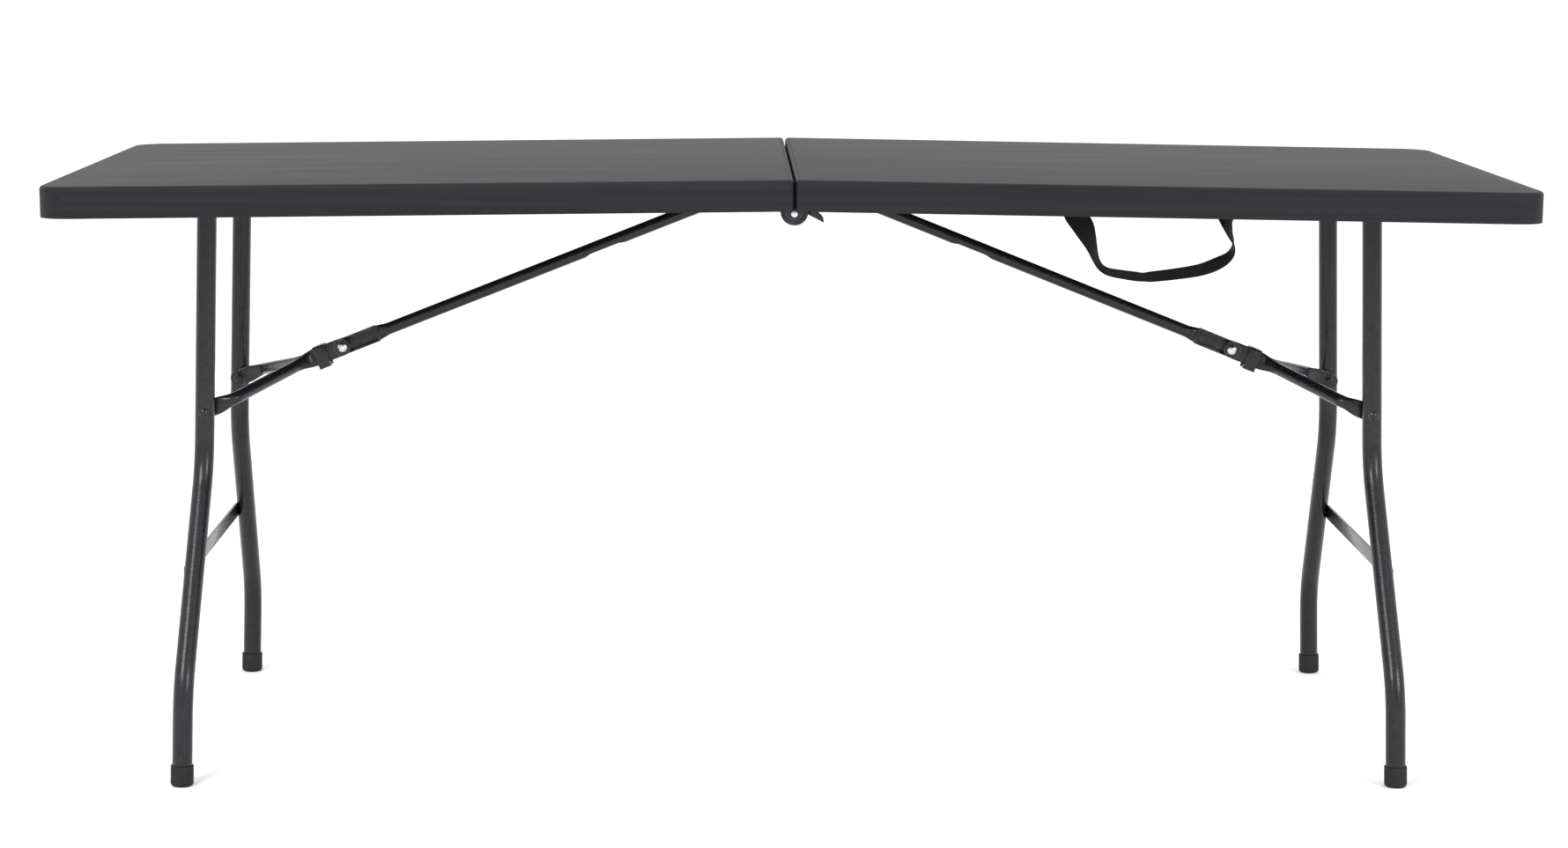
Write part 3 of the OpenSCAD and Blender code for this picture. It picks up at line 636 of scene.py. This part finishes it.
class OBJECT_OT_table_finishes(bpy.types.Operator):
    """Make the finishes and give every plain node the one of its slot"""
    bl_idname = "object.table_finishes"
    bl_label = "Finishes"

    def execute(self, context):
        colours = context.scene.table_colours
        build_worn_highlit_edges()
        build_fine_relief()
        build_painted_crevice_shade()
        build_scuffs()
        finish_plastic(colours.plastic)
        finish_steel(colours.steel)
        finish_zinc(colours.zinc)
        finish_rubber(colours.rubber)
        finish_webbing(colours.webbing)
        slots = {p["node"]: p["material_slot"] for p in frame["record"]["subparts"]}
        for node, obj in frame["nodes"].items():
            material = bpy.data.materials[FINISHES[slots[node]]]
            for place_for in obj.material_slots:
                place_for.material = material
            if not obj.material_slots:
                obj.data.materials.append(material)
        return {"FINISHED"}


# ---- moulded top ----


DIMPLE_FLOOR = 4.4 * MM     # left of the deck above a dimple
EAR_SLOT = 7 * MM           # both ears of a hinge side by side
EAR_ROOM = 0.4 * MM         # beside an ear
NOTCH_RADIUS = 20.5 * MM    # in the skirt, round the hinge
NOTCH_ROOM = 3 * MM         # beside the ears, within the notch
POCKET_HALF = 26 * MM       # half the width of the pocket over the knee
OVER = 1 * MM               # a cutter's reach past the face that it opens


def dimple_cutter(sizes, x0, x1, half_recess, recess_top):
    """A grid of blunt cones that press into the deck from below."""
    step_x = (x1 - x0) / sizes.dimple_columns
    step_y = 2 * half_recess / (2 * sizes.dimple_rows + 1)
    depth = sizes.deck - DIMPLE_FLOOR
    start_clean()
    bpy.ops.mesh.primitive_cone_add(vertices=32, radius1=sizes.dimple_mouth + OVER,
                                    radius2=sizes.dimple_tip, depth=depth + OVER,
                                    location=(x0 + step_x / 2, -half_recess + step_y / 2,
                                              recess_top + (depth - OVER) / 2))
    cone = bpy.context.object
    bpy.ops.object.transform_apply(location=True, rotation=True, scale=True)
    for count, offset in ((sizes.dimple_columns, (step_x, 0, 0)),
                          (sizes.dimple_rows, (0, step_y, 0)),
                          (2, (0, (sizes.dimple_rows + 1) * step_y, 0))):
        array = cone.modifiers.new("Grid", "ARRAY")
        array.count, array.use_relative_offset, array.use_constant_offset = count, False, True
        array.constant_offset_displace = offset
    return apply_modifiers(cone)


def carve(obj, cutter):
    cut = obj.modifiers.new("Carved", "BOOLEAN")
    cut.operation, cut.solver, cut.object = "DIFFERENCE", "EXACT", cutter
    apply_modifiers(obj)
    bpy.data.objects.remove(cutter)
    return obj


def upright(edge):
    a, b = (v.co for v in edge.verts)
    return abs(a.x - b.x) < 1e-5 and abs(a.y - b.y) < 1e-5


def round_corners(obj, seam_side, seam_radius, end_radius):
    """Rounds a block's upright edges: one radius at the seam, another at the far end."""
    for near, radius, segments in ((True, seam_radius, 5), (False, end_radius, 14)):
        mesh = edit(obj)
        select(mesh, mesh.edges, lambda e: upright(e) and (e.verts[0].co.x < seam_side) == near)
        bpy.ops.mesh.bevel(offset=radius, offset_type="OFFSET", segments=segments, affect="EDGES")
        done(obj)


def moulded_half(sizes, name):
    """One half in its own frame: rounded block, recess, dimples, ear notches and brace pocket."""
    low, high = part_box("right_top")
    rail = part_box("right_rear_rail")
    end = high.x / math.cos(CROWN) - (sizes.thickness + sizes.hinge_drop) * math.tan(CROWN)
    seam, half_width, top = sizes.seam_gap / 2, high.y, sizes.thickness
    recess_top = top - sizes.deck
    x0, x1 = seam + sizes.seam_skirt, end - sizes.skirt
    obj = block(name, (seam, -half_width, 0), (end, half_width, top))
    round_corners(obj, seam + sizes.edge, sizes.edge * 1.25, sizes.corner)
    mesh = edit(obj)
    select(mesh, mesh.edges, lambda e: all(v.co.z > top - 1e-5 for v in e.verts))
    bpy.ops.mesh.bevel(offset=sizes.edge * 0.96, offset_type="OFFSET", segments=6, affect="EDGES")
    done(obj)
    recess = block("Recess", (x0, sizes.skirt - half_width, -OVER),
                   (x1, half_width - sizes.skirt, recess_top))
    round_corners(recess, x0 + sizes.edge, sizes.edge, sizes.corner - sizes.skirt)
    mesh = edit(recess)
    select(mesh, mesh.edges, lambda e: all(v.co.z > recess_top - 1e-5 for v in e.verts))
    bpy.ops.mesh.bevel(offset=3 * MM, offset_type="OFFSET", segments=4, affect="EDGES")
    carve(obj, clean(done(recess)))
    carve(obj, dimple_cutter(sizes, x0, x1, rail[0].y, recess_top))
    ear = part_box("left_hinge_ears")[1].y + EAR_ROOM
    ear_in = rail[1].y - EAR_SLOT
    cutters = [disc("Notch", (0, -sizes.hinge_drop), NOTCH_RADIUS, face * (ear_in - NOTCH_ROOM),
                    face * (ear + NOTCH_ROOM), 64) for face, _ in FACES]
    cutters += [side_block("Tail slot", face, (-OVER, ear_in, -OVER),
                           (x0 + OVER, ear, recess_top - 6 * MM)) for face, _ in FACES]
    for cutter in cutters:
        carve(obj, cutter)
    pocket_x = BRACE_KNEE.x - BRACE_PIVOT.x
    pocket = block("Brace pocket", (pocket_x - 20 * MM, -POCKET_HALF, recess_top - 2 * MM),
                   (pocket_x + 100 * MM, POCKET_HALF, recess_top + 6 * MM))
    round_corners(pocket, pocket_x, 8 * MM, 8 * MM)
    carve(obj, pocket)
    return soften(clean(obj), 0.8 * MM, 50)


class OBJECT_OT_table_tops(bpy.types.Operator):
    """Make the two moulded halves"""
    bl_idname = "object.table_tops"
    bl_label = "Moulded halves"

    def execute(self, context):
        sizes = context.scene.table_top
        for side, word in SIDES:
            obj = moulded_half(sizes, f"{word}_moulded_top")
            place(obj, half_frame(side), f"{word}_half", "moulded_plastic", [f"{word}_top"], 40)
        return {"FINISHED"}


# ---- leg frames ----


def leg_path(sizes, face):
    """Middle line of a leg in its own frame: y outwards, z up."""
    in_foot, lowered = 8 * MM, 5 * MM
    foot, leg = middle("right_rear_foot"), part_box("right_rear_leg")
    length = (LEG_PIVOT - Vector((foot.x, 0, foot.z))).length + in_foot
    upper_y = leg[0].y + sizes.leg_radius
    foot_y = foot.y
    angle, radius = sizes.bend_angle, sizes.bend_radius
    slant = (foot_y - upper_y - 2 * radius * (1 - math.cos(angle))) / math.sin(angle)
    tall = 2 * radius * math.sin(angle) + slant * math.cos(angle)
    bend_z = -(length - sizes.lower_straight - tall + lowered)
    low_z = bend_z - tall
    upper = arc(Vector((0, upper_y + radius, bend_z)), radius, math.pi, math.pi + angle, 14)
    lower = arc(Vector((0, foot_y - radius, low_z)), radius, angle, 0, 14)
    points = [Vector((0, upper_y, -6 * MM)), *upper, *lower, Vector((0, foot_y, -length))]
    return [Vector((p.x, face * p.y, p.z)) for p in points]


class OBJECT_OT_table_legs(bpy.types.Operator):
    """Make the bent legs, their cross tubes, feet, rivets and crossbars"""
    bl_idname = "object.table_legs"
    bl_label = "Leg frames"

    def execute(self, context):
        sizes = context.scene.table_frame
        for side, word in SIDES:
            for face, which in FACES:
                leg = tube(f"{word}_{which}_leg_tube", leg_path(sizes, face), sizes.leg_radius, 5)
                clean(leg)
                place(leg, leg_frame(side), f"{word}_legs", "painted_steel", [f"{word}_{which}_leg"])
                refined(f"{word}_{which}_foot", f"{word}_{which}_foot_cap", 0.8 * MM, "rubber")
            refined(f"{word}_leg_pivot", f"{word}_cross_tube", 0.4 * MM, "painted_steel")
            refined(f"{word}_crossbar", f"{word}_flat_crossbar", 1.2 * MM, "painted_steel")
            refined(f"{word}_leg_rivets", f"{word}_leg_rivet_heads", 0.2 * MM, "painted_steel")
        return {"FINISHED"}


# ---- braces ----

ARM_HALF = 5 * MM           # half the thickness of the arm's flat end
PLATE = 52 * MM             # length of the flat end, back from the knee
RIM = 2.4 * MM              # width of the flat end's raised rim
SUNK = 2.2 * MM             # depth of the web below the rim
DENT_HALF = 28 * MM         # half the length of the dent


def brace_arm(sizes, name):
    """Round tube with a small dent below, from its eye to a channelled flat end beside the knee."""
    length = (BRACE_KNEE - BRACE_PIVOT).length
    r, half = sizes.brace_radius, ARM_HALF
    knee_leg = LEG_PIVOT.x - BRACE_PIVOT.x
    dent_x = sizes.dent_share * knee_leg
    stops = [4 * MM] + [dent_x + step * MM for step in range(-28, 29, 4)]
    stops += [length - (66 - 2 * i) * MM for i in range(10)] + [length - 2 * MM]
    run = clean(tube(name, [Vector((x, 0, 0)) for x in stops], r, 6))
    for vertex in run.data.vertices:
        share = smooth_step((DENT_HALF - abs(vertex.co.x - dent_x)) / (8 * MM))
        vertex.co.z = max(vertex.co.z, -r + sizes.dent_depth * share)
    flatten(run, 0, length - 50 * MM, length - 66 * MM, (half - 1.2 * MM) / r,
            (sizes.flat_width / 2 - 1.2 * MM) / r)
    eye = disc("Eye", (0, 0), sizes.eye_radius, -r, r)
    soften(eye, 0.8 * MM)
    knee = disc("Knee", (length, 0), sizes.flat_width / 2, -half, half)
    soften(knee, 0.8 * MM)
    tail = block("Tail", (length, -half, -8 * MM), (length + 19 * MM, half, 8 * MM))
    soften(tail, 1.2 * MM)
    return join([run, eye, knee, channel(sizes, length, half), tail], name)


def channel(sizes, length, half):
    """Flat end of the arm: a raised rim round a sunk web on both sides, with a bead in it."""
    wide = sizes.flat_width / 2
    plate = block("Plate", (length - PLATE, -half, -wide), (length, half, wide))
    mesh = edit(plate)
    select(mesh, mesh.edges, lambda e: all(v.co.x < length - PLATE + 1 * MM for v in e.verts)
           and abs(e.verts[0].co.z - e.verts[1].co.z) < 1e-5)
    bpy.ops.mesh.bevel(offset=4 * MM, offset_type="OFFSET", segments=3, affect="EDGES")
    done(plate)
    for face, _ in FACES:
        web = side_block("Web", face, (length - 47.5 * MM, half - SUNK, -wide + RIM),
                         (length + 2 * MM, half + 2 * MM, wide - RIM))
        mesh = edit(web)
        select(mesh, mesh.edges, lambda e: all(v.co.x < length - 40 * MM for v in e.verts)
               and abs(e.verts[0].co.y - e.verts[1].co.y) > 1 * MM)
        bpy.ops.mesh.bevel(offset=3 * MM, offset_type="OFFSET", segments=4, affect="EDGES")
        carve(plate, clean(done(web)))
    beads = [soften(side_block("Bead", face, (length - 44 * MM, half - 2.6 * MM, -wide + 4.6 * MM),
                               (length - 13 * MM, half - 0.8 * MM, -wide + 7.0 * MM)), 0.8 * MM)
             for face, _ in FACES]
    soften(plate, 0.7 * MM, 40)
    return join([plate, *beads], "Channel")


def fork_arm(sizes, name):
    """Flat beside the knee, a tube that spreads out to its leg, and flat again."""
    r, flat = sizes.brace_radius, sizes.flat_thickness
    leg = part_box("right_rear_leg")
    rivet = middle("right_fork_rivets")
    length = (Vector((rivet.x, 0, rivet.z)) - BRACE_KNEE).length
    inner_face = r + 0.3 * MM
    outer_face = leg[0].y - 0.4 * MM
    corners = [(0, inner_face + r, 0), (62 * MM, inner_face + r, 0),
               (length - 38 * MM, outer_face - r, 0), (length, outer_face - r, 0)]
    path = rounded_path([Vector(c) for c in corners], 12 * MM, 8)
    dense = []
    for a, b in zip(path, path[1:]):
        steps = max(1, int((b - a).length / (3 * MM)))
        dense += [a.lerp(b, i / steps) for i in range(steps)]
    dense.append(path[-1])
    run = clean(tube(name, dense, r, 5))
    thin, wide = flat / 2 / r, sizes.flat_width / 2 / r
    flatten(run, inner_face, 40 * MM, 60 * MM, thin, wide)
    flatten(run, outer_face, length - 14 * MM, length - 36 * MM, thin, wide)
    inner_y, outer_y = inner_face + flat / 2, outer_face - flat / 2
    parts = [run]
    for x, y in ((0, inner_y), (length, outer_y)):
        eye = disc("Eye", (x, 0), sizes.flat_width / 2, y - flat / 2, y + flat / 2)
        parts.append(soften(eye, 0.5 * MM))
    return join(parts, name)


def locking_band(sizes, name):
    """Folded strap round both forks, bevelled above, with two feet turned in below."""
    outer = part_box("right_lock_ring")[1].y
    wall = sizes.ring_wall
    middle_x = (middle("right_lock_ring") - BRACE_KNEE).length - 0.4 * MM
    x0, x1 = middle_x - sizes.ring_length / 2, middle_x + sizes.ring_length / 2
    feet = 5.5 * MM
    top = sizes.flat_width / 2 + 0.5 * MM + wall
    low = -sizes.flat_width / 2 - 0.4 * MM - feet
    band = block("Band", (x0, -outer, low), (x1, outer, top))
    mesh = edit(band)
    select(mesh, mesh.edges, lambda e: abs(e.verts[0].co.x - e.verts[1].co.x) > 1 * MM
           and e.verts[0].co.z > 0)
    bpy.ops.mesh.bevel(offset=2.4 * MM, offset_type="OFFSET", segments=1, affect="EDGES")
    done(band)
    inside = block("Inside", (x0 - 1 * MM, wall - outer, low + feet),
                   (x1 + 1 * MM, outer - wall, top - wall))
    carve(band, inside)
    slot = block("Slot", (x0 - 1 * MM, -sizes.brace_radius - 0.3 * MM, low - 1 * MM),
                 (x1 + 1 * MM, sizes.brace_radius + 0.3 * MM, low + 7 * MM))
    carve(band, slot)
    band.name = name
    return soften(clean(band), 0.5 * MM, 30)


class OBJECT_OT_table_braces(bpy.types.Operator):
    """Make the brace arms and forks, with their rivets, rings and brackets"""
    bl_idname = "object.table_braces"
    bl_label = "Braces"

    def execute(self, context):
        sizes = context.scene.table_frame
        for side, word in SIDES:
            arm = brace_arm(sizes, f"{word}_brace_tube")
            place(arm, brace_frame(side, BRACE_PIVOT), f"{word}_arm", "painted_steel",
                  [f"{word}_brace_arm"])
            for face, which in FACES:
                fork = fork_arm(sizes, f"{word}_{which}_fork_tube")
                turn = brace_frame(side, BRACE_KNEE) @ Matrix.Scale(face, 4, (0, 1, 0))
                place(fork, turn, f"{word}_fork", "painted_steel", [f"{word}_{which}_fork"])
            refined(f"{word}_brace_rivet", f"{word}_knee_rivet", 0.2 * MM, "zinc")
            refined(f"{word}_fork_rivets", f"{word}_fork_rivet_heads", 0.2 * MM, "painted_steel")
            place(locking_band(sizes, f"{word}_locking_band"), brace_frame(side, BRACE_KNEE),
                  f"{word}_ring", "painted_steel", [f"{word}_lock_ring"])
            refined(f"{word}_brace_bracket", f"{word}_bracket", 0.6 * MM, "painted_steel")
            refined(f"{word}_brace_pin", f"{word}_bracket_pin", 0.2 * MM, "zinc")
        return {"FINISHED"}


# ---- rails, hinge and latch ----


class OBJECT_OT_table_hinge(bpy.types.Operator):
    """Make the side rails, hinge ears, pins, latch and screws"""
    bl_idname = "object.table_hinge"
    bl_label = "Rails, hinge and latch"

    def execute(self, context):
        for side, word in SIDES:
            for face, which in FACES:
                refined(f"{word}_{which}_rail", f"{word}_{which}_side_rail", 0.7 * MM, "painted_steel")
            refined(f"{word}_hinge_ears", f"{word}_hinge_plates", 0.5 * MM, "painted_steel")
            refined(f"{word}_screws", f"{word}_screw_heads", 0.2 * MM, "zinc")
        for which in ("front", "rear"):
            refined(f"{which}_hinge_pin", f"{which}_hinge_rivet", 0.3 * MM, "zinc")
        refined("latch_hook", "latch_finger", 0.5 * MM, "painted_steel")
        refined("latch_pin", "latch_rivet", 0.2 * MM, "zinc")
        refined("handle_screws", "handle_screw_heads", 0.2 * MM, "zinc")
        return {"FINISHED"}


# ---- carry handle ----

# Along the webbing: out from its first end, up, and the turn of its width, in degrees
HANDLE_STATIONS = [(0, 14, 0), (4, 0, 0), (14, -14, 12), (20.5, -27, 38), (26, -40, 58), (31, -54, 70),
                   (37, -64, 75), (47, -70, 76), (64, -73, 74), (80, -75, 73), (91, -75.8, 75),
                   (101, -75, 71), (131, -71, 69), (160, -65.5, 67), (181, -57, 67), (195, -47, 80),
                   (199, -34, 96), (194, -20, 110), (190, -7, 128), (189, 4, 160), (189, 14, 180)]


def smooth_run(values, steps):
    """Values on a smooth curve through the stations."""
    run = []
    for i in range(len(values) - 1):
        p0, p1 = values[max(i - 1, 0)], values[i]
        p2, p3 = values[i + 1], values[min(i + 2, len(values) - 1)]
        for k in range(steps):
            t = k / steps
            run.append(tuple(0.5 * (2 * b + (c - a) * t + (2 * a - 5 * b + 4 * c - d) * t * t
                                    + (3 * b - a - 3 * c + d) * t ** 3)
                             for a, b, c, d in zip(p0, p1, p2, p3)))
    return run + [tuple(values[-1])]


def webbing_strap(sizes, name):
    """A flat strap that follows its stations and turns as it goes."""
    run = smooth_run(HANDLE_STATIONS, 5)
    rows = 6
    start_clean()
    bpy.ops.mesh.primitive_grid_add(x_subdivisions=rows, y_subdivisions=len(run) - 1, size=1)
    obj = bpy.context.object
    obj.name = name
    points = [Vector((x * MM, 0, z * MM)) for x, z, _ in run]
    lengths = [0.0]
    for a, b in zip(points, points[1:]):
        lengths.append(lengths[-1] + (b - a).length)
    order = {}
    for vertex in obj.data.vertices:
        i = round((vertex.co.y + 0.5) * (len(run) - 1))
        side = vertex.co.x + 0.5
        order[vertex.index] = (side, i)
        ahead = (points[min(i + 1, len(run) - 1)] - points[max(i - 1, 0)]).normalized()
        across = Vector((-ahead.z, 0, ahead.x))
        turn = math.radians(run[i][2])
        width = across * math.cos(turn) + Vector((0, 1, 0)) * math.sin(turn)
        vertex.co = points[i] + width * (side - 0.5) * sizes.width
    uv = obj.data.uv_layers.active.data
    for loop in obj.data.loops:
        side, i = order[loop.vertex_index]
        uv[loop.index].uv = (side * sizes.width, lengths[i])
    solid = obj.modifiers.new("Thickness", "SOLIDIFY")
    solid.thickness, solid.offset = sizes.thickness, 0
    apply_modifiers(obj)
    soften(obj, 0.5 * MM, 60)
    return obj


class OBJECT_OT_table_handle(bpy.types.Operator):
    """Make the webbing carry handle"""
    bl_idname = "object.table_handle"
    bl_label = "Carry handle"

    def execute(self, context):
        sizes = context.scene.table_handle
        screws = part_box("handle_screws")
        strap = webbing_strap(sizes, "webbing_handle")
        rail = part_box("right_front_rail")
        inner = half_frame(RIGHT).inverted() @ screws[0]
        spot = Vector((inner.x + 4.5 * MM, rail[1].y + sizes.thickness / 2 + 0.3 * MM, 0))
        place(strap, half_frame(RIGHT) @ Matrix.Translation(spot), "right_half", "webbing",
              ["carry_handle"], 60)
        return {"FINISHED"}


# ---- stage ----


def soft_light(name, place_at, towards, size, power):
    start_clean()
    bpy.ops.object.light_add(type="AREA", location=place_at)
    light = bpy.context.object
    light.name, light.data.shape, light.data.size, light.data.energy = name, "SQUARE", size, power
    light.rotation_euler = (Vector(towards) - Vector(place_at)).to_track_quat("-Z", "Y").to_euler()
    return light


class OBJECT_OT_table_stage(bpy.types.Operator):
    """Make the floor, the soft lights and the camera"""
    bl_idname = "object.table_stage"
    bl_label = "Stage"

    def execute(self, context):
        stage = context.scene.table_stage
        start_clean()
        bpy.ops.mesh.primitive_plane_add(size=700, location=(0, 0, 0))
        floor = context.object
        floor.name = "floor"
        material = bpy.data.materials.new("Pale floor")
        material.use_nodes = True
        shader = material.node_tree.nodes["Principled BSDF"]
        shader.inputs["Base Color"].default_value = (*stage.floor, 1)
        shader.inputs["Roughness"].default_value = 0.9
        shader.inputs["Specular IOR Level"].default_value = 0.1
        floor.data.materials.append(material)

        world = bpy.data.worlds.new("Studio")
        world.use_nodes = True
        world.node_tree.nodes["Background"].inputs["Color"].default_value = (1, 1, 1, 1)
        world.node_tree.nodes["Background"].inputs["Strength"].default_value = 1.2
        context.scene.world = world
        soft_light("key", (-2.2, -3.4, 3.2), (0, 0, 0.4), 1.7, 115)
        soft_light("fill", (3.0, -3.0, 2.0), (0, 0, 0.4), 1.3, 60)
        soft_light("above", (0.4, 0.6, 3.8), (0, 0, 0.7), 2.0, 25)

        bpy.ops.object.camera_add(location=stage.place)
        camera = context.object
        camera.name = "camera"
        camera.rotation_mode = "QUATERNION"
        camera.rotation_quaternion = (Matrix.Rotation(-stage.heading, 3, "Z")
                                      @ Matrix.Rotation(math.pi / 2 - stage.pitch, 3, "X")
                                      @ Matrix.Rotation(stage.roll, 3, "Z")).to_quaternion()
        camera.data.sensor_width, camera.data.lens = 36, stage.lens
        camera.data.shift_y = stage.rise
        camera.data.clip_end = 800
        context.scene.camera = camera
        context.scene.view_settings.view_transform = "Standard"
        return {"FINISHED"}


class VIEW3D_PT_table(bpy.types.Panel):
    """Lists the table's operators and sizes"""
    bl_label = "Folding Table"
    bl_space_type = "VIEW_3D"
    bl_region_type = "UI"
    bl_category = "Folding Table"

    def draw(self, context):
        for operator in OPERATORS:
            self.layout.operator(operator.bl_idname)
        for group in (context.scene.table_top, context.scene.table_frame, context.scene.table_handle,
                      context.scene.table_colours, context.scene.table_stage):
            for name in group.bl_rna.properties.keys():
                if name not in ("rna_type", "name"):
                    self.layout.prop(group, name)


OPERATORS = (OBJECT_OT_table_stage, OBJECT_OT_table_finishes, OBJECT_OT_table_tops,
             OBJECT_OT_table_legs, OBJECT_OT_table_braces, OBJECT_OT_table_hinge,
             OBJECT_OT_table_handle)
GROUPS = {"table_top": TableTopSizes, "table_frame": FrameSizes, "table_handle": HandleSizes,
          "table_colours": FinishColours, "table_stage": StageSettings}
CLASSES = (*GROUPS.values(), *OPERATORS, VIEW3D_PT_table)


def register():
    for cls in CLASSES:
        bpy.utils.register_class(cls)
    for name, group in GROUPS.items():
        setattr(bpy.types.Scene, name, PointerProperty(type=group))


def unregister():
    for name in GROUPS:
        delattr(bpy.types.Scene, name)
    for cls in reversed(CLASSES):
        bpy.utils.unregister_class(cls)


def main():
    register()
    bpy.ops.object.table_stage()
    bpy.ops.object.table_finishes()
    bpy.ops.object.table_tops()
    bpy.ops.object.table_legs()
    bpy.ops.object.table_braces()
    bpy.ops.object.table_hinge()
    bpy.ops.object.table_handle()


if __name__ == "__main__":
    main()
